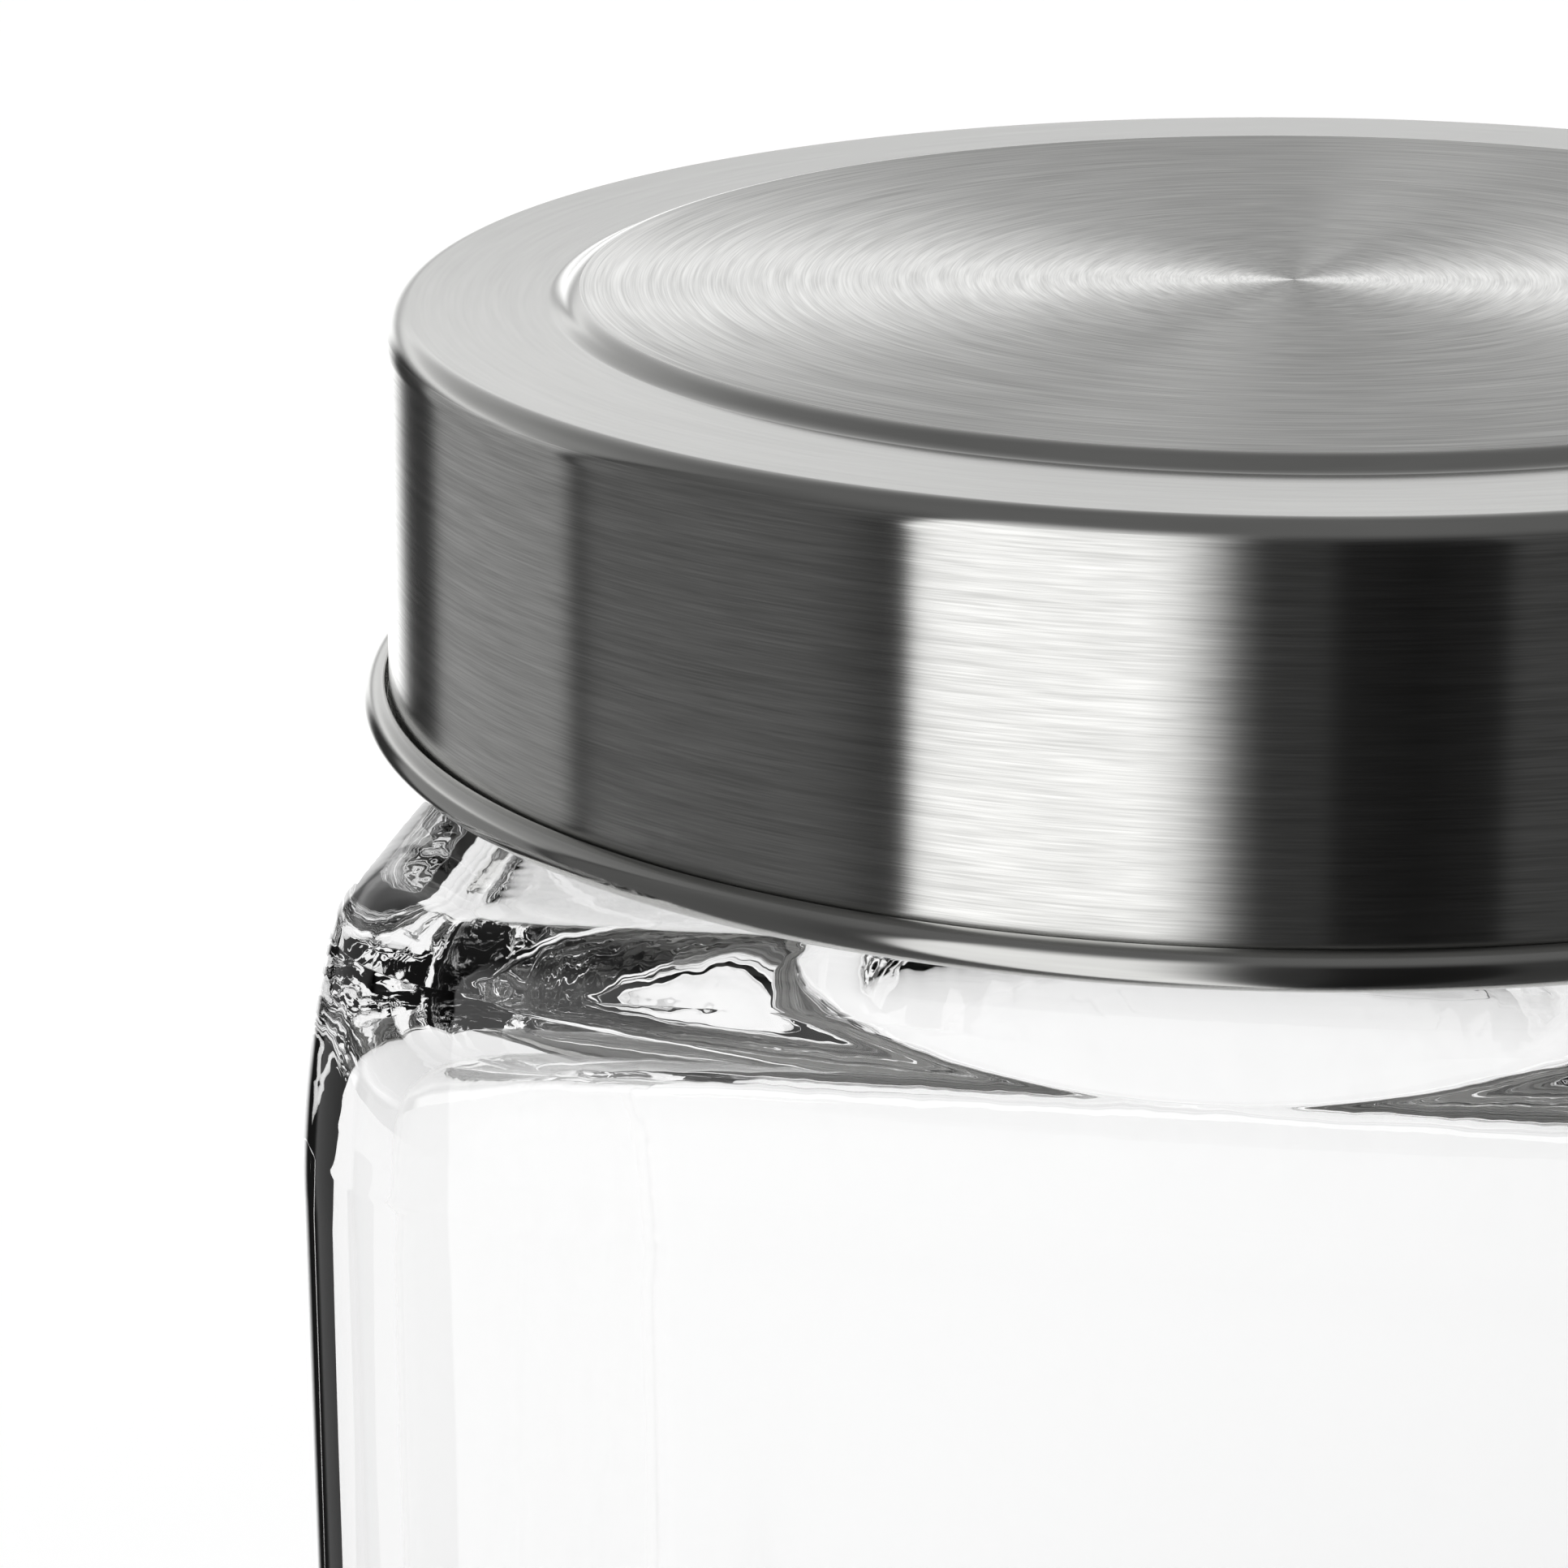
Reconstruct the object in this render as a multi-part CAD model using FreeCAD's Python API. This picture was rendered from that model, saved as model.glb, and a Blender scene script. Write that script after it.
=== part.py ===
import FreeCAD, Part
import math
import os

# Glass storage jar: a squared, clear glass body with soft corners and a round neck,
# closed by a screw lid. The lid is a drawn steel shell with a rolled edge, fitted over
# a moulded plastic insert that presses a flat seal ring on the rim of the neck.
# Millimetres. The origin is the middle of the base, on the surface the jar stands on.
# +Z is up, and a flat face of the body looks along -Y.

# glass body
body_width = 95.5            # across two flat faces
body_height = 125.4          # standing surface to the flat top of the shoulder
corner_radius = 14.0         # upright corners, outside
wall = 4.7                   # glass in the upright walls
base_thickness = 6.5         # glass in the base, out from the push-up
heel_radius = 6.0            # rounding from the walls into the base, outside
inner_heel_radius = 5.0      # the same inside
push_up = 1.2                # how far the middle of the base is raised
push_up_margin = 13.0        # breadth of the ring that the jar stands on
push_up_slope = 1.0          # breadth of the slope up into the push-up

# shoulder, where the walls lean in on a long curve that ends in a tight one
shoulder_rise = 17.0         # height of the two curves, outside
shoulder_run = 5.8           # how far they lean in, outside
shoulder_radius = 4.0        # the tight curve into the flat top, outside
inner_shoulder_rise = 9.5    # the same three inside, where the turn is rounder
inner_shoulder_run = 6.5
inner_shoulder_radius = 5.9
shoulder_glass = 6.6         # glass under the flat top of the shoulder

# neck
neck_inset = 4.35            # neck behind the flat faces of the body
neck_height = 20.8
neck_wall = 3.2
bore_ease = 0.6              # eased edge where the bore opens into the body
rim_ease = 0.8               # eased edges of the rim

# seal ring and lid insert
seal_thickness = 1.2
seal_overlap = 0.6           # how far the ring reaches past the rim, in and out
thread_gap = 4.0             # room for the threads between neck and insert
insert_top = 1.6
insert_skirt = 2.0
insert_lift = 2.2            # lower edge of the skirt above that of the shell
insert_clearance = 0.1       # skirt to shell
insert_edge = 1.2            # eased upper edge of the insert

# steel shell
sheet = 0.5
lid_gap = 1.3                # shell's lower edge above the shoulder
lid_draft = 0.5              # degrees that the wall leans in towards the top
lid_edge_radius = 1.5        # rounding from the wall to the top, outside
bead_reach = 1.5             # how far the rolled edge stands out past the wall
ring_width = 9.7             # flat ring of the top, from wall to step
step_run = 0.9               # breadth of the sloping step up to the disc
disc_rise = 0.7              # edge of the raised disc above the flat ring
disc_dish = 0.25             # middle of the disc below its edge
disc_flat = 12.0             # radius of the level middle of the disc

up = FreeCAD.Vector(0, 0, 1)
centre = FreeCAD.Vector(0, 0, 0)

half_width = body_width / 2
neck_radius = half_width - neck_inset
neck_bore = neck_radius - neck_wall
rim_height = body_height + neck_height
ceiling = body_height - shoulder_glass

insert_ceiling = rim_height + seal_thickness
shell_ceiling = insert_ceiling + insert_top
lid_top = shell_ceiling + sheet
lid_base = body_height + lid_gap
lid_radius = neck_radius + thread_gap + insert_skirt + insert_clearance + sheet


def point(radius, height):
    return FreeCAD.Vector(radius, 0, height)


def line(start, end):
    return Part.LineSegment(start, end).toShape()


def bent(middle, radius, angles):
    """Points round a middle at angles in degrees, for a small bend in a few flats."""
    turns = [math.radians(angle) for angle in angles]
    return [middle + point(radius * math.cos(turn), radius * math.sin(turn)) for turn in turns]


def rounding(middle, radius, angles):
    """Arc in the XZ plane round a middle, through three angles in degrees."""
    return Part.Arc(*bent(middle, radius, angles)).toShape()


def ends(step):
    """Where a step of a path begins and ends: a corner is a point, a curve an edge."""
    if isinstance(step, FreeCAD.Vector):
        return step, step
    return step.firstVertex(True).Point, step.lastVertex(True).Point


def path(*steps):
    """Closed face in the XZ plane from corners and curves, joined in order by lines."""
    edges = []
    here = ends(steps[-1])[1]
    for step in steps:
        start, end = ends(step)
        if here.distanceToPoint(start) > 1e-6:
            edges.append(line(here, start))
        if isinstance(step, Part.Edge):
            edges.append(step)
        here = end
    return Part.Face(Part.Wire(edges))


def turned(face):
    return face.revolve(centre, up, 360)


# ---- jar_glass: one piece of clear glass, pressed and blown ----

def wall_section(reach, bottom, top, heel, rise, run, tight):
    """Upright section from an axis out to a wall, with its heel and leaning shoulder."""
    long = (run ** 2 + (rise - tight) ** 2 - tight ** 2) / (2 * (run - tight))
    meet = math.degrees(math.atan2(rise - tight, long - run))
    return path(
        point(0, bottom),
        rounding(point(reach - heel, bottom + heel), heel, (-90, -45, 0)),
        rounding(point(reach - long, top - rise), long, (0, meet / 2, meet)),
        rounding(point(reach - run, top - tight), tight, (meet, (meet + 90) / 2, 90)),
        point(0, top),
    )


def squared_block(half, radius, *sizes):
    """Squared solid: in each quarter turn a flat wing, and a corner turned about a post."""
    flat = half - radius
    wing = wall_section(half, *sizes)
    wing.translate(FreeCAD.Vector(0, -flat, 0))
    wing = wing.extrude(FreeCAD.Vector(0, 2 * flat, 0))
    post = wall_section(radius, *sizes).revolve(centre, up, 90)
    post.translate(FreeCAD.Vector(flat, flat, 0))
    quarters = []
    for turn in range(4):
        for solid in (wing, post):
            quarter = solid.copy()
            quarter.rotate(centre, up, 90 * turn)
            quarters.append(quarter)
    return quarters[0].multiFuse(quarters[1:]).removeSplitter()


def foot_recess():
    """Shallow push-up under the base, which leaves a ring to stand on."""
    half = half_width - push_up_margin
    block = Part.makeBox(2 * half, 2 * half, push_up, FreeCAD.Vector(-half, -half, 0))
    upright = [edge for edge in block.Edges if edge.BoundBox.ZLength > push_up / 2]
    block = block.makeFillet(corner_radius, upright)
    roof = [edge for edge in block.Edges if edge.BoundBox.ZMin > push_up / 2]
    return block.makeChamfer(push_up_slope, roof)


def level_circles(shape, radius, height):
    """Edges that are whole circles about the jar's axis, at a height."""
    return [edge for edge in shape.Edges
            if isinstance(edge.Curve, Part.Circle)
            and abs(edge.Curve.Radius - radius) < 1e-4
            and abs(edge.Curve.Center.z - height) < 1e-4]


def neck_opening():
    """Bore of the neck, a little wider where it runs down into the inner shoulder."""
    mouth = neck_bore + bore_ease
    return turned(path(
        point(0, ceiling - inner_shoulder_rise),
        point(mouth, ceiling - inner_shoulder_rise),
        point(mouth, ceiling),
        point(neck_bore, ceiling + bore_ease),
        point(neck_bore, rim_height),
        point(0, rim_height),
    ))


def jar_glass():
    outside = squared_block(half_width, corner_radius, 0, body_height, heel_radius,
                            shoulder_rise, shoulder_run, shoulder_radius)
    neck = Part.makeCylinder(neck_radius, rim_height - ceiling, point(0, ceiling))
    inside = squared_block(half_width - wall, corner_radius - wall, base_thickness, ceiling,
                           inner_heel_radius, inner_shoulder_rise, inner_shoulder_run,
                           inner_shoulder_radius)
    glass = outside.fuse(neck).cut(inside.fuse(neck_opening())).cut(foot_recess())
    rim = (level_circles(glass, neck_radius, rim_height)
           + level_circles(glass, neck_bore, rim_height))
    return glass.makeChamfer(rim_ease, rim)


# ---- lid_seal: flat ring of soft silicone on the rim ----

def lid_seal():
    ring = Part.makeCylinder(neck_radius + seal_overlap, seal_thickness, point(0, rim_height))
    hole = Part.makeCylinder(neck_bore - seal_overlap, seal_thickness, point(0, rim_height))
    return ring.cut(hole)


# ---- lid_insert: moulded plastic cap inside the steel shell ----

def wall_radius(height):
    """Outside of the steel wall, which leans in towards the top."""
    return lid_radius - (height - lid_base) * math.tan(math.radians(lid_draft))


def lid_insert():
    foot = lid_base + insert_lift
    cover = sheet + insert_clearance
    inner = neck_radius + thread_gap
    edge_height = shell_ceiling - insert_edge
    edge_radius = wall_radius(edge_height) - cover
    return turned(path(
        point(0, insert_ceiling),
        point(inner, insert_ceiling),
        point(inner, foot),
        point(wall_radius(foot) - cover, foot),
        point(edge_radius, edge_height),
        point(edge_radius - insert_edge, shell_ceiling),
        point(0, shell_ceiling),
    ))


# ---- lid_shell: steel sheet, drawn into a cap with its lower edge rolled outwards ----

def lid_shell():
    bead_radius = (bead_reach + sheet) / 2
    bead_middle = point(lid_radius - sheet + bead_radius, lid_base + bead_radius)
    crease = 90 + math.degrees(math.asin((bead_radius - sheet) / bead_radius))

    edge_height = lid_top - lid_edge_radius
    edge_middle = point(wall_radius(edge_height) - lid_edge_radius, edge_height)
    disc_radius = lid_radius - ring_width - step_run
    disc_top = lid_top + disc_rise
    disc_low = disc_top - disc_dish
    return turned(path(
        *bent(bead_middle, bead_radius, (-180, -135, -90, -45, 0, 45, crease)),
        *bent(edge_middle, lid_edge_radius, (0, 45, 90)),
        point(disc_radius + step_run, lid_top),
        point(disc_radius, disc_top),
        point(disc_flat, disc_low),
        point(0, disc_low),
        point(0, disc_low - sheet),
        point(disc_flat, disc_low - sheet),
        point(disc_radius, disc_top - sheet),
        point(disc_radius + step_run, shell_ceiling),
        *bent(edge_middle, lid_edge_radius - sheet, (90, 45, 0)),
    ))


if __name__ == "__main__":
    os.makedirs("parts", exist_ok=True)
    pieces = {
        "jar_glass": jar_glass(),
        "lid_seal": lid_seal(),
        "lid_insert": lid_insert(),
        "lid_shell": lid_shell(),
    }
    for name, shape in pieces.items():
        shape.exportStep("parts/" + name + ".step")
        print(name, "valid:", shape.isValid(), "solids:", len(shape.Solids),
              "mm3:", round(shape.Volume))
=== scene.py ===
import math

import bmesh
import bpy
from mathutils import Matrix, Vector


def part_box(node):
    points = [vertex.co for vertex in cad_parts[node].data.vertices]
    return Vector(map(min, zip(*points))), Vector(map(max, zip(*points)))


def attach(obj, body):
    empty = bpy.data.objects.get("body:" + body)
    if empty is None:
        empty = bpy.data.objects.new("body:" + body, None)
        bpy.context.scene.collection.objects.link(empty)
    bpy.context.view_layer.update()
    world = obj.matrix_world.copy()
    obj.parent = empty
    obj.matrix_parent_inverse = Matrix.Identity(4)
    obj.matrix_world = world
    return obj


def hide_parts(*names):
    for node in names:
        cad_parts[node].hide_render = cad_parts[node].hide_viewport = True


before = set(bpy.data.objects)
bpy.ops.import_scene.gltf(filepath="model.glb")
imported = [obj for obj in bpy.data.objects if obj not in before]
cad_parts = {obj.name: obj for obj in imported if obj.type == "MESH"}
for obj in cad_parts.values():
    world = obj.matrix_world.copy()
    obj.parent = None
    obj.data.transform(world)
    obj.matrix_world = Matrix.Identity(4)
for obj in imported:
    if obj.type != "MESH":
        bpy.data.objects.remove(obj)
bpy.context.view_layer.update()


# ---- jar_glass: the squared jar ----
# One piece of clear soda-lime glass, blown in a polished iron mould: flat walls, soft
# corners, and a shoulder that leans in to a round neck. The screw thread stands up from
# the neck under the lid.

MM = 0.001
jar_low, jar_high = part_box("jar_glass")

half_width = jar_high.x / MM
rim_height = jar_high.z / MM
body_height = rim_height - 20.8
corner_radius = 14.0
wall = 4.7
base_thickness = 6.5
heel_radius = 6.0
inner_heel_radius = 5.0
push_up = 1.2
push_up_margin = 13.0
ceiling = body_height - 6.6
neck_radius = half_width - 4.35
neck_bore = neck_radius - 3.2
post = half_width - corner_radius
corner_steps = 24
wall_steps = 24
ring_steps = 4 * (corner_steps + wall_steps)


def outline(shape, corners, closed=False):
    """Wire in the XZ plane through corners of (radius, height, rounding), in millimetres."""
    points = [shape.verts.new((corner[0] * MM, 0, corner[1] * MM)) for corner in corners]
    wire = points + [shape.edges.new(pair) for pair in zip(points, points[1:])]
    if closed:
        wire.append(shape.edges.new((points[-1], points[0])))
    before = {item for item in [*shape.verts, *shape.edges] if item not in set(wire)}
    for point, corner in zip(points, corners):
        if len(corner) > 2:
            bmesh.ops.bevel(shape, geom=[point], offset=corner[2] * MM, offset_type="OFFSET",
                            segments=corner[3] if len(corner) > 3 else 6,
                            affect="VERTICES", profile=0.5, material=-1)
    return [item for item in [*shape.verts, *shape.edges] if item not in before]


def turned(shape, corners, steps=256, closed=False):
    """Band turned once round the jar's axis."""
    wire = outline(shape, corners, closed)
    bmesh.ops.spin(shape, geom=wire, cent=(0, 0, 0), axis=(0, 0, 1), dvec=(0, 0, 0),
                   angle=math.tau, steps=steps, use_merge=True, use_duplicate=False)


def squared(shape, corners, post):
    """Band round a squared body: a corner turned about its post, a flat wall, four times."""
    before = {item for item in [*shape.verts, *shape.edges, *shape.faces]}
    wire = outline(shape, corners)
    centre = Vector((post, post, 0)) * MM
    bmesh.ops.translate(shape, vec=centre, verts=[v for v in wire if isinstance(v, bmesh.types.BMVert)])
    corner = bmesh.ops.spin(shape, geom=wire, cent=centre, axis=(0, 0, 1), dvec=(0, 0, 0),
                            angle=math.pi / 2, steps=corner_steps, use_duplicate=False)
    bmesh.ops.spin(shape, geom=corner["geom_last"], cent=centre, axis=(0, 0, 1),
                   dvec=(-2 * post * MM / wall_steps, 0, 0), angle=0, steps=wall_steps,
                   use_duplicate=False)
    quarter = [item for item in [*shape.verts, *shape.edges, *shape.faces] if item not in before]
    bmesh.ops.spin(shape, geom=quarter, cent=(0, 0, 0), axis=(0, 0, 1), dvec=(0, 0, 0),
                   angle=math.pi * 1.5, steps=3, use_duplicate=True)


def screw(x, y, z, pitch, crest, low, high):
    """How far a thread's ridge stands out, in millimetres, where one start runs up a wall."""
    turn = (z / pitch - math.atan2(y, x) / math.tau) % 1
    ridge = max(math.cos((turn - 0.5) * math.tau), 0) ** 0.7
    faded = min(max((z - low) / 1.5, 0), max((high - z) / 1.5, 0), 1)
    return crest * ridge * faded


def threaded(shape, radius, low, high, crest, pitch=6.0, shift=0.0):
    """Rows cut into a turned wall between two heights, and moved out or in to form a thread."""
    rungs = [edge for edge in shape.edges
             if all(abs(math.hypot(v.co.x, v.co.y) / MM - radius) < 0.01 for v in edge.verts)
             and abs(edge.verts[0].co.z - edge.verts[1].co.z) > 0.01]
    cut = bmesh.ops.subdivide_edges(shape, edges=rungs, cuts=72, use_grid_fill=True)
    for vert in {item for item in cut["geom_inner"] if isinstance(item, bmesh.types.BMVert)}:
        x, y, z = vert.co / MM
        reach = radius + screw(x, y, z + shift, pitch, crest, low + shift, high + shift)
        vert.co.x, vert.co.y = vert.co.x * reach / radius, vert.co.y * reach / radius


def open_edges(shape, height):
    """Open edges that lie level at a height in millimetres."""
    return [edge for edge in shape.edges
            if edge.is_boundary and all(abs(v.co.z - height * MM) < 1e-6 for v in edge.verts)]


class Shoulder:
    """Two arcs that lean in from a squared wall: a long one, then a tight one into the top."""

    def __init__(self, half, corner, top, rise, run, tight):
        self.half, self.corner, self.top, self.run, self.tight = half, corner, top, run, tight
        self.long = (run ** 2 + (rise - tight) ** 2 - tight ** 2) / (2 * (run - tight))
        self.meet = math.atan2(rise - tight, self.long - run)
        self.start = top - rise
        self.side = self.long * math.tan(self.meet / 2)

    def lean(self, reach):
        """Corners of the long arc, from the wall to where the tight arc takes over."""
        bend = self.start + self.side
        last = self.side + 0.05
        return [(reach, bend, self.side, 16),
                (reach - last * math.sin(self.meet), bend + last * math.cos(self.meet))]

    def inward(self, x, y):
        """How far a spot in plan lies in from the squared wall."""
        past = [max(abs(a) - self.half + self.corner, 0) for a in (x, y)]
        if min(past) > 0:
            return self.corner - math.hypot(*past)
        return self.half - max(abs(x), abs(y))

    def height(self, x, y):
        """Height of the tight arc and the flat top over a spot in plan."""
        left = max(self.run - self.inward(x, y), 0)
        return self.top - self.tight + math.sqrt(max(self.tight ** 2 - left ** 2, 0))


def piece(name, shape, material, nodes=()):
    """Object made from a shape, riding on the body and the nodes it replaces."""
    mesh = bpy.data.meshes.new(name)
    shape.to_mesh(mesh)
    shape.free()
    mesh.shade_smooth()
    mesh.materials.append(material)
    made = bpy.data.objects.new(name, mesh)
    bpy.context.scene.collection.objects.link(made)
    evening = made.modifiers.new("even", "WEIGHTED_NORMAL")
    evening.weight = 80
    made.data = bpy.data.meshes.new_from_object(
        made.evaluated_get(bpy.context.evaluated_depsgraph_get()))
    made.modifiers.clear()
    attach(made, "root")
    if nodes:
        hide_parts(*nodes)
    return made


def linear(code):
    """Linear colour from an sRGB hex code."""
    parts = [int(code[i:i + 2], 16) / 255 for i in (1, 3, 5)]
    return [(p / 12.92 if p <= 0.04045 else ((p + 0.055) / 1.055) ** 2.4) for p in parts] + [1]


def add(tree, kind, settings=None, links=None):
    """One node with its settings and the sockets that feed it."""
    node = tree.nodes.new(kind)
    for key, value in (settings or {}).items():
        if isinstance(key, int) or key in node.inputs:
            node.inputs[key].default_value = value
        else:
            setattr(node, key, value)
    for key, source in (links or {}).items():
        tree.links.new(source, node.inputs[key])
    return node


def material(name):
    made = bpy.data.materials.new(name)
    made.use_nodes = True
    made.node_tree.nodes.clear()
    return made, made.node_tree


# Moulded soda-lime glass, fire polished: colourless and clear, with the slight unevenness
# that a mould leaves, which shows as soft streaks in what is seen through the walls.
glass, tree = material("Soda-lime glass, moulded and fire polished")
place = add(tree, "ShaderNodeTexCoord").outputs["Object"]
swell = add(tree, "ShaderNodeTexNoise", {"Scale": 45.0, "Detail": 1.0}, {"Vector": place})
relief = add(tree, "ShaderNodeBump", {"Strength": 0.06, "Distance": 0.002}, {"Height": swell.outputs["Fac"]})
# the shoulder chills last and unevenly, and its skin is rippled a few millimetres apart
level = add(tree, "ShaderNodeSeparateXYZ", {}, {0: place})
shoulder_share = add(tree, "ShaderNodeMapRange", {1: 0.112, 2: 0.12}, {0: level.outputs[2]})
ripple = add(tree, "ShaderNodeTexNoise", {"Scale": 280.0, "Detail": 2.0}, {"Vector": place})
rippled = add(tree, "ShaderNodeMath", {"operation": "MULTIPLY"},
              {0: ripple.outputs["Fac"], 1: shoulder_share.outputs[0]})
relief = add(tree, "ShaderNodeBump", {"Strength": 0.12, "Distance": 0.0005},
             {"Height": rippled.outputs[0], "Normal": relief.outputs["Normal"]})
body = add(tree, "ShaderNodeBsdfPrincipled",
           {"Base Color": linear("#FCFCFC"), "Roughness": 0.0, "IOR": 1.52,
            "Transmission Weight": 1.0},
           {"Normal": relief.outputs["Normal"]})
clear = add(tree, "ShaderNodeBsdfTransparent", {"Color": linear("#F3F3F3")})
path = add(tree, "ShaderNodeLightPath")
lit = add(tree, "ShaderNodeMath", {"operation": "MAXIMUM"},
          {0: path.outputs["Is Shadow Ray"], 1: path.outputs["Is Diffuse Ray"]})
both = add(tree, "ShaderNodeMixShader", {}, {0: lit.outputs[0], 1: body.outputs[0], 2: clear.outputs[0]})
add(tree, "ShaderNodeOutputMaterial", {}, {"Surface": both.outputs[0]})

outside = Shoulder(half_width, corner_radius, body_height, 17.0, 5.8, 4.0)
inside = Shoulder(half_width - wall, corner_radius - wall, ceiling, 9.5, 6.5, 5.9)
inner = corner_radius - wall
recess = half_width - push_up_margin - corner_radius
neck_foot = body_height + 0.6
mouth_top = ceiling + 0.8

shape = bmesh.new()
squared(shape, [(corner_radius, 0), (corner_radius - 1.0, push_up, 0.4), (corner_radius - 2.0, push_up)], recess)
bmesh.ops.remove_doubles(shape, verts=shape.verts, dist=1e-6)
# the ring that the jar stands on runs from the recess out to where the heel turns up
heel_start = corner_radius - heel_radius - 0.5
ring = bmesh.ops.extrude_edge_only(shape, edges=open_edges(shape, 0))
for vert in [item for item in ring["geom"] if isinstance(item, bmesh.types.BMVert)]:
    x, y, z = vert.co / MM
    near = Vector((min(max(x, -recess), recess), min(max(y, -recess), recess), 0))
    vert.co = (near * post / recess + (Vector((x, y, 0)) - near) * heel_start / corner_radius) * MM
squared(shape, [(heel_start, 0),
                (corner_radius, 0, heel_radius, 10),
                *outside.lean(corner_radius)], post)
turned(shape, [(neck_radius, neck_foot),
               (neck_radius, rim_height, 0.8),
               (neck_bore, rim_height, 0.8),
               (neck_bore, mouth_top)], ring_steps)
threaded(shape, neck_radius, body_height + 8.0, rim_height - 2.0, 2.3)
squared(shape, [*reversed(inside.lean(inner)),
                (inner, base_thickness, inner_heel_radius, 10),
                (inner - inner_heel_radius - 1.5, base_thickness)], post)
bmesh.ops.remove_doubles(shape, verts=shape.verts, dist=1e-6)
for height in (push_up, base_thickness):
    bmesh.ops.contextual_create(shape, geom=open_edges(shape, height))

# each top runs from its shoulder to the neck: flat at first, then raised to the arcs
for shoulder, ring, foot_height in ((outside, neck_radius, neck_foot), (inside, neck_bore, mouth_top)):
    rise = shoulder.lean(shoulder.corner)[1][1]
    bridged = bmesh.ops.bridge_loops(
        shape, edges=open_edges(shape, rise) + open_edges(shape, foot_height))
    rungs = {edge for face in bridged["faces"] for edge in face.edges
             if abs(edge.verts[0].co.z - edge.verts[1].co.z) > 1e-5}
    cut = bmesh.ops.subdivide_edges(shape, edges=list(rungs), cuts=48, use_grid_fill=True)
    rows = {item for item in cut["geom_inner"] if isinstance(item, bmesh.types.BMVert)}
    for vert in rows:
        vert.co.z = shoulder.height(vert.co.x / MM, vert.co.y / MM) * MM
    near = [vert for vert in rows if math.hypot(vert.co.x, vert.co.y) < (ring + 2.5) * MM]
    for _ in range(12):
        bmesh.ops.smooth_vert(shape, verts=near, factor=0.5, use_axis_x=False, use_axis_y=False, use_axis_z=True)
# inside, the mould leaves no sharp turn: the roof is evened out
within = [vert for vert in shape.verts
          if inside.start + 0.05 < vert.co.z / MM < ceiling + 0.05
          and outside.inward(vert.co.x / MM, vert.co.y / MM) > wall - 0.01
          and math.hypot(vert.co.x, vert.co.y) > (neck_bore + 0.1) * MM]
for _ in range(20):
    bmesh.ops.smooth_vert(shape, verts=within, factor=0.5, use_axis_x=True, use_axis_y=True, use_axis_z=True)
bmesh.ops.recalc_face_normals(shape, faces=shape.faces)
jar = piece("jar", shape, glass, ["jar_glass"])


# ---- lid_seal: soft ring on the rim ----
# Silicone rubber, cut flat and pressed between the rim and the insert.

silicone, tree = material("Silicone rubber, moulded")
place = add(tree, "ShaderNodeTexCoord").outputs["Object"]
grain = add(tree, "ShaderNodeTexNoise", {"Scale": 2000.0}, {"Vector": place})
relief = add(tree, "ShaderNodeBump", {"Strength": 0.1, "Distance": 0.0001}, {"Height": grain.outputs["Fac"]})
body = add(tree, "ShaderNodeBsdfPrincipled", {"Base Color": linear("#D8D8D5"), "Roughness": 0.6},
           {"Normal": relief.outputs["Normal"]})
add(tree, "ShaderNodeOutputMaterial", {}, {"Surface": body.outputs[0]})

seal_low, seal_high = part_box("lid_seal")
seal_top = seal_high.z / MM
shape = bmesh.new()
turned(shape, [(neck_bore - 0.6, rim_height, 0.3), (neck_radius + 0.6, rim_height, 0.3),
               (neck_radius + 0.6, seal_top, 0.3), (neck_bore - 0.6, seal_top, 0.3)],
       steps=192, closed=True)
bmesh.ops.remove_doubles(shape, verts=shape.verts, dist=1e-6)
bmesh.ops.recalc_face_normals(shape, faces=shape.faces)
piece("seal", shape, silicone, ["lid_seal"])


# ---- lid_insert: the plastic cap inside the steel ----
# Polypropylene, injection moulded, pressed into the steel shell. Its skirt carries the
# thread that draws the lid down on the rim.

plastic, tree = material("Polypropylene, injection moulded")
place = add(tree, "ShaderNodeTexCoord").outputs["Object"]
grain = add(tree, "ShaderNodeTexNoise", {"Scale": 1500.0, "Detail": 3.0}, {"Vector": place})
relief = add(tree, "ShaderNodeBump", {"Strength": 0.15, "Distance": 0.0001}, {"Height": grain.outputs["Fac"]})
body = add(tree, "ShaderNodeBsdfPrincipled", {"Base Color": linear("#8A8A88"), "Roughness": 0.4},
           {"Normal": relief.outputs["Normal"]})
add(tree, "ShaderNodeOutputMaterial", {}, {"Surface": body.outputs[0]})

insert_low, insert_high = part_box("lid_insert")
skirt_foot = insert_low.z / MM
insert_roof = insert_high.z / MM
skirt_inner = neck_radius + 4.0
shape = bmesh.new()
turned(shape, [(0, seal_top), (skirt_inner, seal_top, 0.8), (skirt_inner, skirt_foot, 0.4),
               (49.38, skirt_foot, 0.4), (49.205, insert_roof, 1.3), (0, insert_roof)])
threaded(shape, skirt_inner, skirt_foot + 1.5, seal_top - 3.0, -2.1, shift=3.0)
bmesh.ops.remove_doubles(shape, verts=shape.verts, dist=1e-6)
bmesh.ops.recalc_face_normals(shape, faces=shape.faces)
piece("insert", shape, plastic, ["lid_insert"])


# ---- lid_shell: the steel lid ----
# Stainless steel sheet, drawn into a cap: a flat ring, a slightly raised and dished disc,
# a straight wall and a lower edge rolled outwards. The wall is brushed round, the disc is
# spun against a fine belt, and the ring, the step and the roll are polished.

shell_low, shell_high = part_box("lid_shell")
lid_base = shell_low.z / MM
disc_top = shell_high.z / MM
lid_top = disc_top - 0.7
sheet = 0.5
foot = 50.0
head = foot - (lid_top - lid_base) * math.tan(math.radians(0.5))
step_inner = 39.4
step_outer = 40.3


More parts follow.
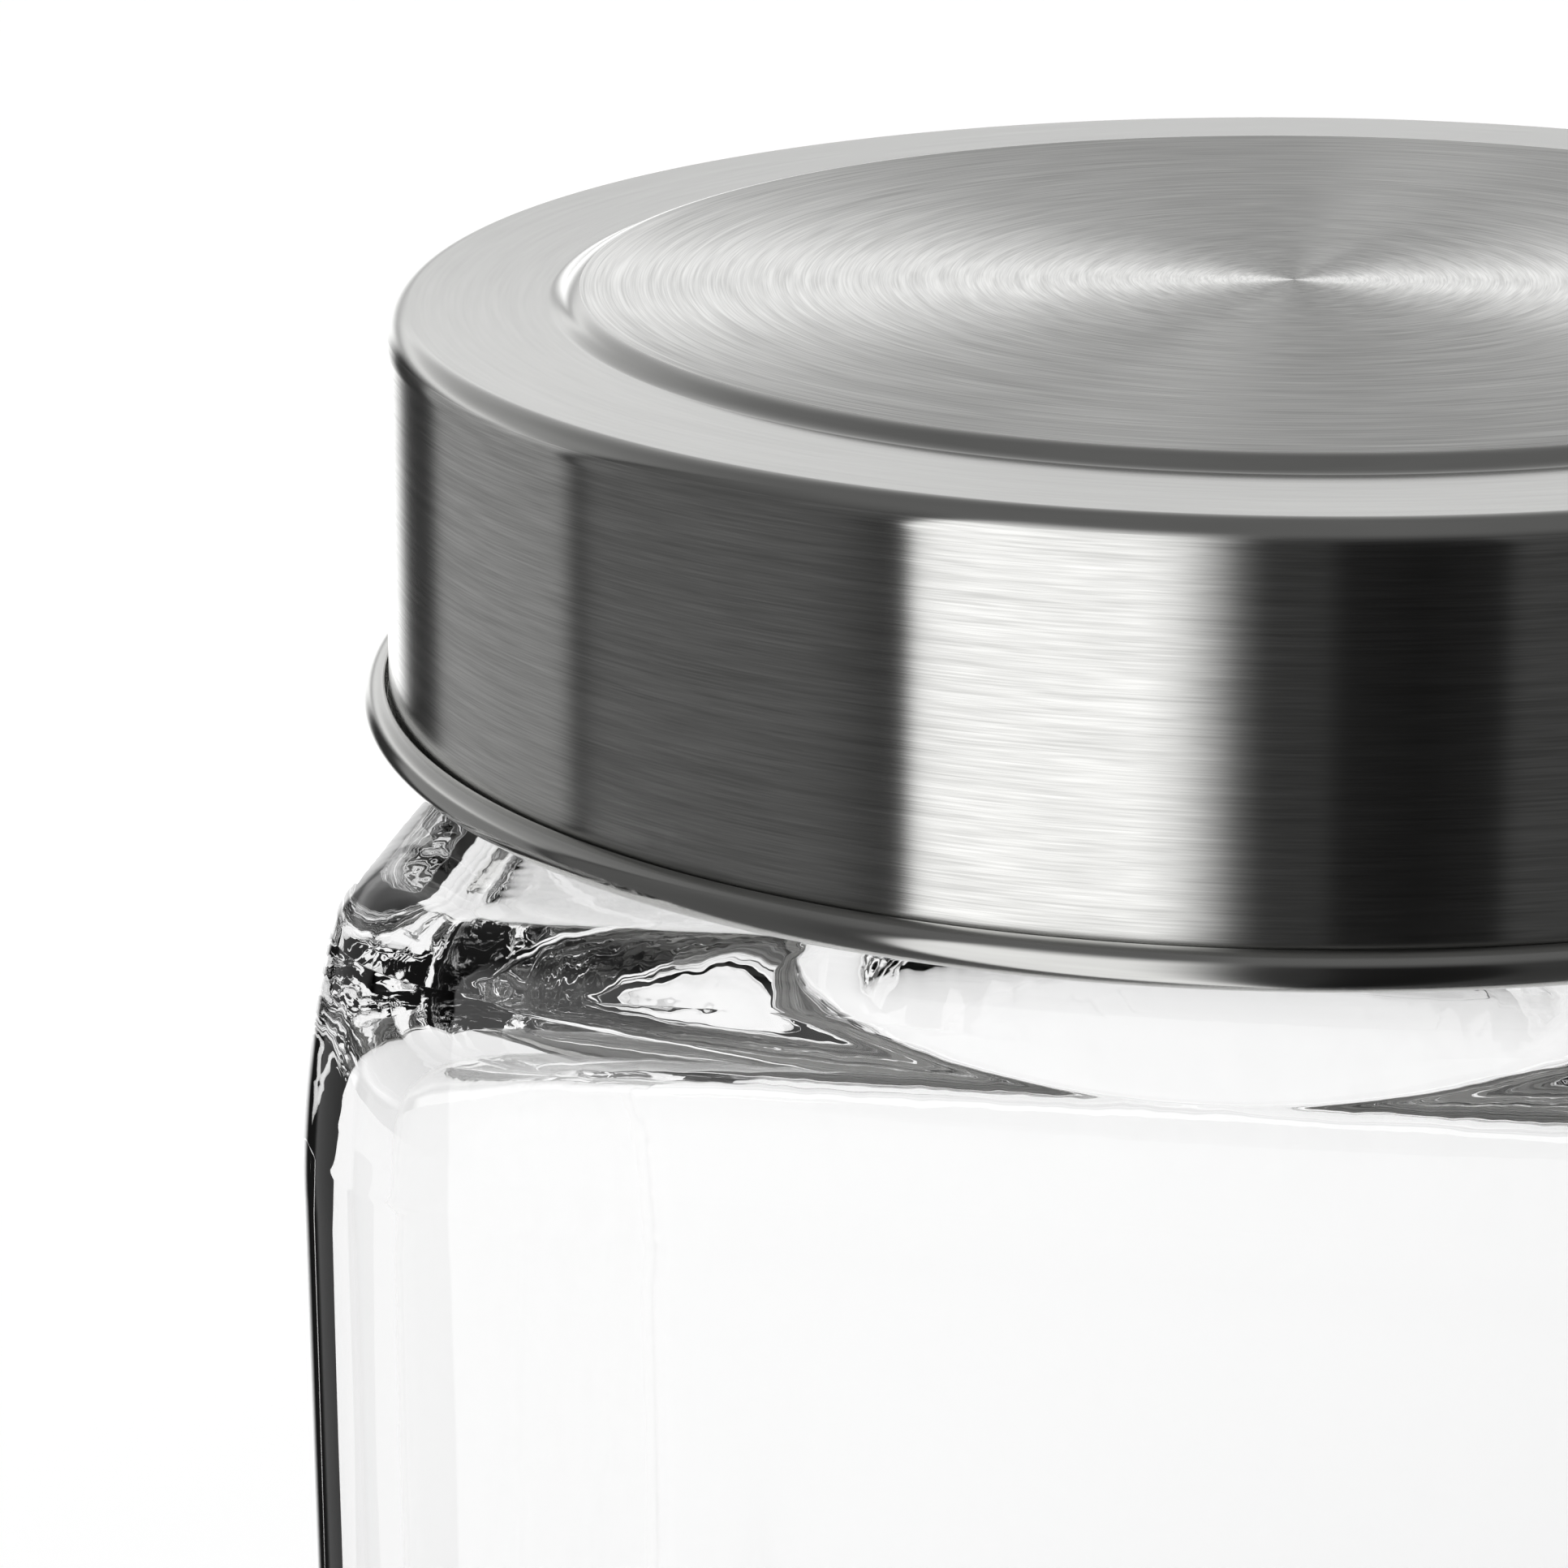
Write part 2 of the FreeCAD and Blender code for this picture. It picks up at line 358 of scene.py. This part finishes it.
def steel_finish(name, dark, light, roughness, anisotropic, lines, strength):
    """Stainless steel worked round the lid's axis, with fine lines across a plan or a wall.

    lines gives the scales, per metre, of the lines: along their run, by radius, by height. dark and light are the
    ends of a painted reflection: the lines are real, but their light and dark tone in the colour stands in for
    the changing light that the grooves would mirror.
    """
    made, tree = material(name)
    place = add(tree, "ShaderNodeTexCoord").outputs["Object"]
    parts = add(tree, "ShaderNodeSeparateXYZ", {}, {0: place})
    flat = add(tree, "ShaderNodeVectorMath", {"operation": "MULTIPLY", 1: (1, 1, 0)}, {0: place})
    reach = add(tree, "ShaderNodeVectorMath", {"operation": "LENGTH"}, {0: flat.outputs[0]})
    heading = add(tree, "ShaderNodeVectorMath", {"operation": "NORMALIZE"}, {0: flat.outputs[0]})
    aim = add(tree, "ShaderNodeSeparateXYZ", {}, {0: heading.outputs[0]})
    spots = []
    for share, seed in ((1.0, 0.0), (0.23, 4.0)):
        across = add(tree, "ShaderNodeMath", {"operation": "MULTIPLY_ADD", 1: lines[1] * share, 2: seed},
                     {0: reach.outputs["Value"]})
        up = add(tree, "ShaderNodeMath", {"operation": "MULTIPLY_ADD", 1: lines[2] * share},
                 {0: parts.outputs[2], 2: across.outputs[0]})
        run = add(tree, "ShaderNodeMath", {"operation": "MULTIPLY", 1: lines[0]}, {0: aim.outputs[0]})
        ran = add(tree, "ShaderNodeMath", {"operation": "MULTIPLY", 1: lines[0]}, {0: aim.outputs[1]})
        spot = add(tree, "ShaderNodeCombineXYZ", {}, {0: run.outputs[0], 1: ran.outputs[0], 2: up.outputs[0]})
        spots.append(add(tree, "ShaderNodeTexNoise", {"Scale": 1.0, "Detail": 2.0, "Roughness": 0.7},
                         {"Vector": spot.outputs[0]}).outputs["Fac"])
    # painted reflection: the real lines' light and dark tone in the base colour stands in for the changing light
    # that the grooves would mirror
    grain = add(tree, "ShaderNodeMix", {"data_type": "FLOAT", 0: 0.4}, {2: spots[0], 3: spots[1]})
    shade = add(tree, "ShaderNodeValToRGB", {}, {0: grain.outputs[0]})
    for element, code, position in zip(shade.color_ramp.elements, (dark, light), (0.36, 0.64)):
        element.color, element.position = linear(code), position
    relief = add(tree, "ShaderNodeBump", {"Strength": strength, "Distance": 0.00002},
                 {"Height": spots[0]})
    tangent = add(tree, "ShaderNodeTangent", {"direction_type": "RADIAL", "axis": "Z"})
    body = add(tree, "ShaderNodeBsdfPrincipled",
               {"Metallic": 1.0, "Roughness": roughness,
                "Anisotropic": anisotropic, "Anisotropic Rotation": 0.25},
               {"Base Color": shade.outputs[0], "Normal": relief.outputs["Normal"],
                "Tangent": tangent.outputs[0]})
    add(tree, "ShaderNodeOutputMaterial", {}, {"Surface": body.outputs[0]})
    return made


# Brushed round with a fine belt: level lines that smear reflections up and down, so lights
# stand in it as upright bands. The real lines, 0.02 to 0.05 mm, are drawn about 0.1 mm.
# the light and dark of these lines in the colour is painted reflection
brushed = steel_finish("Stainless steel, brushed round", "#B8B8B6", "#DADAD8",
                       0.17, 1.0, (7.0, 0.0, 9000.0), 0.08)
# Spun on a lathe against a belt: rings finer than the wall's lines, drawn about 0.1 mm.
# the light and dark of these rings in the colour is painted reflection, the strongest of the three
spun = steel_finish("Stainless steel, spun", "#C0C0BE", "#F0F0EE",
                    0.3, 1.0, (3.0, 9000.0, 0.0), 0.12)
# Drawn over a polished die: smooth, with only traces of the rings.
# the light and dark of these traces in the colour is painted reflection
drawn = steel_finish("Stainless steel, drawn and polished", "#B6B6B4", "#BEBEBC",
                     0.16, 0.6, (4.0, 3000.0, 3000.0), 0.03)

shape = bmesh.new()
turned(shape, [
    (0, disc_top - 0.25),
    (step_inner, disc_top, 0.5),
    (step_outer, lid_top, 0.5),
    (head, lid_top, 1.5, 10),
    (foot, lid_base + 0.9),
    (foot + 0.2, lid_base + 0.9),
    (foot + 0.2, lid_base + 2.0, 0.15, 3),
    (foot + 1.5, lid_base + 2.0, 1.0, 8),
    (foot + 1.5, lid_base, 1.0, 8),
    (foot - sheet, lid_base, 0.9, 8),
    (head - sheet, lid_top - sheet, 1.0, 6),
    (step_outer - 0.15, lid_top - sheet, 0.4),
    (step_inner - 0.15, disc_top - sheet, 0.4),
    (0, disc_top - 0.25 - sheet),
])
bmesh.ops.remove_doubles(shape, verts=shape.verts, dist=1e-6)
bmesh.ops.recalc_face_normals(shape, faces=shape.faces)
for face in shape.faces:
    middle = face.calc_center_median() / MM
    reach = math.hypot(middle.x, middle.y)
    if middle.z > disc_top - 0.5 and reach < step_inner - 0.4:
        face.material_index = 1
    elif reach < head - 0.2 or middle.z < lid_base + 2.1:
        face.material_index = 2
shell = piece("shell", shape, brushed, ["lid_shell"])
shell.data.materials.append(spun)
shell.data.materials.append(drawn)


# ---- floor ----
# A plain white table that runs on into the backdrop.

table, tree = material("White table, matt")
path = add(tree, "ShaderNodeLightPath")
glow = add(tree, "ShaderNodeMath", {"operation": "MAXIMUM"},
           {0: path.outputs["Is Camera Ray"], 1: path.outputs["Is Transmission Ray"]})
body = add(tree, "ShaderNodeBsdfPrincipled",
           {"Base Color": linear("#F8F8F8"), "Roughness": 0.9, "Emission Color": (1, 1, 1, 1)},
           {"Emission Strength": add(tree, "ShaderNodeMath", {"operation": "MULTIPLY", 1: 0.12},
                                     {0: glow.outputs[0]}).outputs[0]})
add(tree, "ShaderNodeOutputMaterial", {}, {"Surface": body.outputs[0]})
shape = bmesh.new()
bmesh.ops.create_circle(shape, cap_ends=True, segments=96, radius=4.0)
mesh = bpy.data.meshes.new("floor")
shape.to_mesh(mesh)
shape.free()
mesh.materials.append(table)
floor = bpy.data.objects.new("floor", mesh)
bpy.context.scene.collection.objects.link(floor)
floor.visible_glossy = False


# ---- studio ----
# A white room. What mirrors in steel comes by direction: below the lid's level upright
# softboxes and black flags stand round the table, above it a bright strip lies low behind
# the jar with a dimmer ceiling over it.

camera_azimuth = math.radians(-84.27)
world = bpy.data.worlds.new("Studio")
world.use_nodes = True
tree = world.node_tree
tree.nodes.clear()
ray = add(tree, "ShaderNodeTexCoord").outputs["Generated"]
split = add(tree, "ShaderNodeSeparateXYZ", {}, {0: ray})
turn = add(tree, "ShaderNodeMath", {"operation": "ARCTAN2"}, {0: split.outputs[1], 1: split.outputs[0]})
left = add(tree, "ShaderNodeMath", {"operation": "SUBTRACT", 0: camera_azimuth + math.pi}, {1: turn.outputs[0]})
share = add(tree, "ShaderNodeMath", {"operation": "DIVIDE", 1: math.tau}, {0: left.outputs[0]})
share = add(tree, "ShaderNodeMath", {"operation": "WRAP", 1: 0.0, 2: 1.0}, {0: share.outputs[0]})


def lights(stops, low, high, source):
    """Ramp of brightness from stops of (place, brightness) between low and high."""
    ramp = add(tree, "ShaderNodeValToRGB", {}, {0: source})
    elements = ramp.color_ramp.elements
    elements.remove(elements[-1])
    for number, (spot, bright) in enumerate(stops):
        place = (spot - low) / (high - low)
        element = elements.new(place) if number else elements[0]
        element.position = place
        element.color = (bright, bright, bright, 1)
    return ramp.outputs[0]


# degrees to the left of the camera
around = lights([(-180, 1.6), (-153, 1.6), (-150, 0.03), (-131, 0.26), (-98, 0.26), (-96, 0.03),
                 (-60, 0.10), (-34, 0.07), (-27, 0.07), (-26, 0.02), (-16, 0.013), (-6, 0.02), (-5, 0.05),
                 (3, 0.05), (6, 0.17), (9, 0.6), (13, 1.2), (17, 1.5), (45.6, 1.5), (46.4, 0.03),
                 (55, 0.1), (60, 0.13), (94, 0.16), (96.6, 0.0), (98.2, 0.0), (98.8, 0.32), (131, 0.38),
                 (134, 0.04), (146, 0.02), (153, 1.6), (180, 1.6)], -180, 180, share.outputs[0])
# sine of the height above the level, behind the jar
above = lights([(0.0, 0.3), (0.15, 0.42), (0.185, 0.5), (0.215, 1.05), (0.27, 1.3), (0.31, 0.9),
                (0.4, 0.6), (0.6, 0.4), (1.0, 0.2)], 0, 1, split.outputs[2])
lift = add(tree, "ShaderNodeMapRange", {"From Min": 0.08, "From Max": 0.17}, {"Value": split.outputs[2]})
away = add(tree, "ShaderNodeVectorMath", {"operation": "DOT_PRODUCT",
                                          1: (-math.cos(camera_azimuth), -math.sin(camera_azimuth), 0)}, {0: ray})
behind = add(tree, "ShaderNodeMapRange", {"From Min": 0.1, "From Max": 0.5}, {"Value": away.outputs["Value"]})
backdrop = add(tree, "ShaderNodeMath", {"operation": "MULTIPLY"}, {0: lift.outputs[0], 1: behind.outputs[0]})
walls = add(tree, "ShaderNodeMix", {"data_type": "RGBA"}, {0: backdrop.outputs[0], 6: around, 7: above})
roof = add(tree, "ShaderNodeMapRange", {"From Min": 0.55, "From Max": 0.85}, {"Value": split.outputs[2]})
studio = add(tree, "ShaderNodeMix", {"data_type": "RGBA", 7: (0.2, 0.2, 0.2, 1)},
             {0: roof.outputs[0], 6: walls.outputs[2]})
path = add(tree, "ShaderNodeLightPath")
plain = add(tree, "ShaderNodeMath", {"operation": "MAXIMUM"},
            {0: path.outputs["Is Camera Ray"], 1: path.outputs["Is Diffuse Ray"]})
plain = add(tree, "ShaderNodeMath", {"operation": "MULTIPLY_ADD", 1: 0.8},
            {0: path.outputs["Is Transmission Ray"], 2: plain.outputs[0]})
seen = add(tree, "ShaderNodeMix", {"data_type": "RGBA", 7: (1, 1, 1, 1)},
           {0: plain.outputs[0], 6: studio.outputs[2]})
light = add(tree, "ShaderNodeBackground", {"Strength": 1.0}, {"Color": seen.outputs[2]})
add(tree, "ShaderNodeOutputWorld", {}, {"Surface": light.outputs[0]})
bpy.context.scene.world = world


# ---- camera ----

turn = Matrix.Rotation(0.10, 3, "Z")
aside, down, roll = -0.0901, 0.3065, -0.0090
forward = Vector((math.sin(aside) * math.cos(down), math.cos(aside) * math.cos(down), -math.sin(down)))
right = Vector((math.cos(aside), -math.sin(aside), 0))
above = right.cross(forward)
across = right * math.cos(roll) + above * math.sin(roll)
upward = above * math.cos(roll) - right * math.sin(roll)
lens = bpy.data.cameras.new("camera")
lens.sensor_width = 36
lens.lens = 133.6
lens.clip_start = 0.01
camera = bpy.data.objects.new("camera", lens)
camera.matrix_world = (Matrix.Translation(turn @ Vector((0, -0.31253, lid_top * MM + 0.07033)))
                       @ (turn @ Matrix((across, upward, -forward)).transposed()).to_4x4())
bpy.context.scene.collection.objects.link(camera)
bpy.context.scene.camera = camera
bpy.context.scene.view_settings.view_transform = "Standard"
# light goes round inside thick glass many times before it comes out
bpy.context.scene.cycles.glossy_bounces = 10
bpy.context.scene.cycles.transmission_bounces = 12
bpy.context.scene.cycles.max_bounces = 16
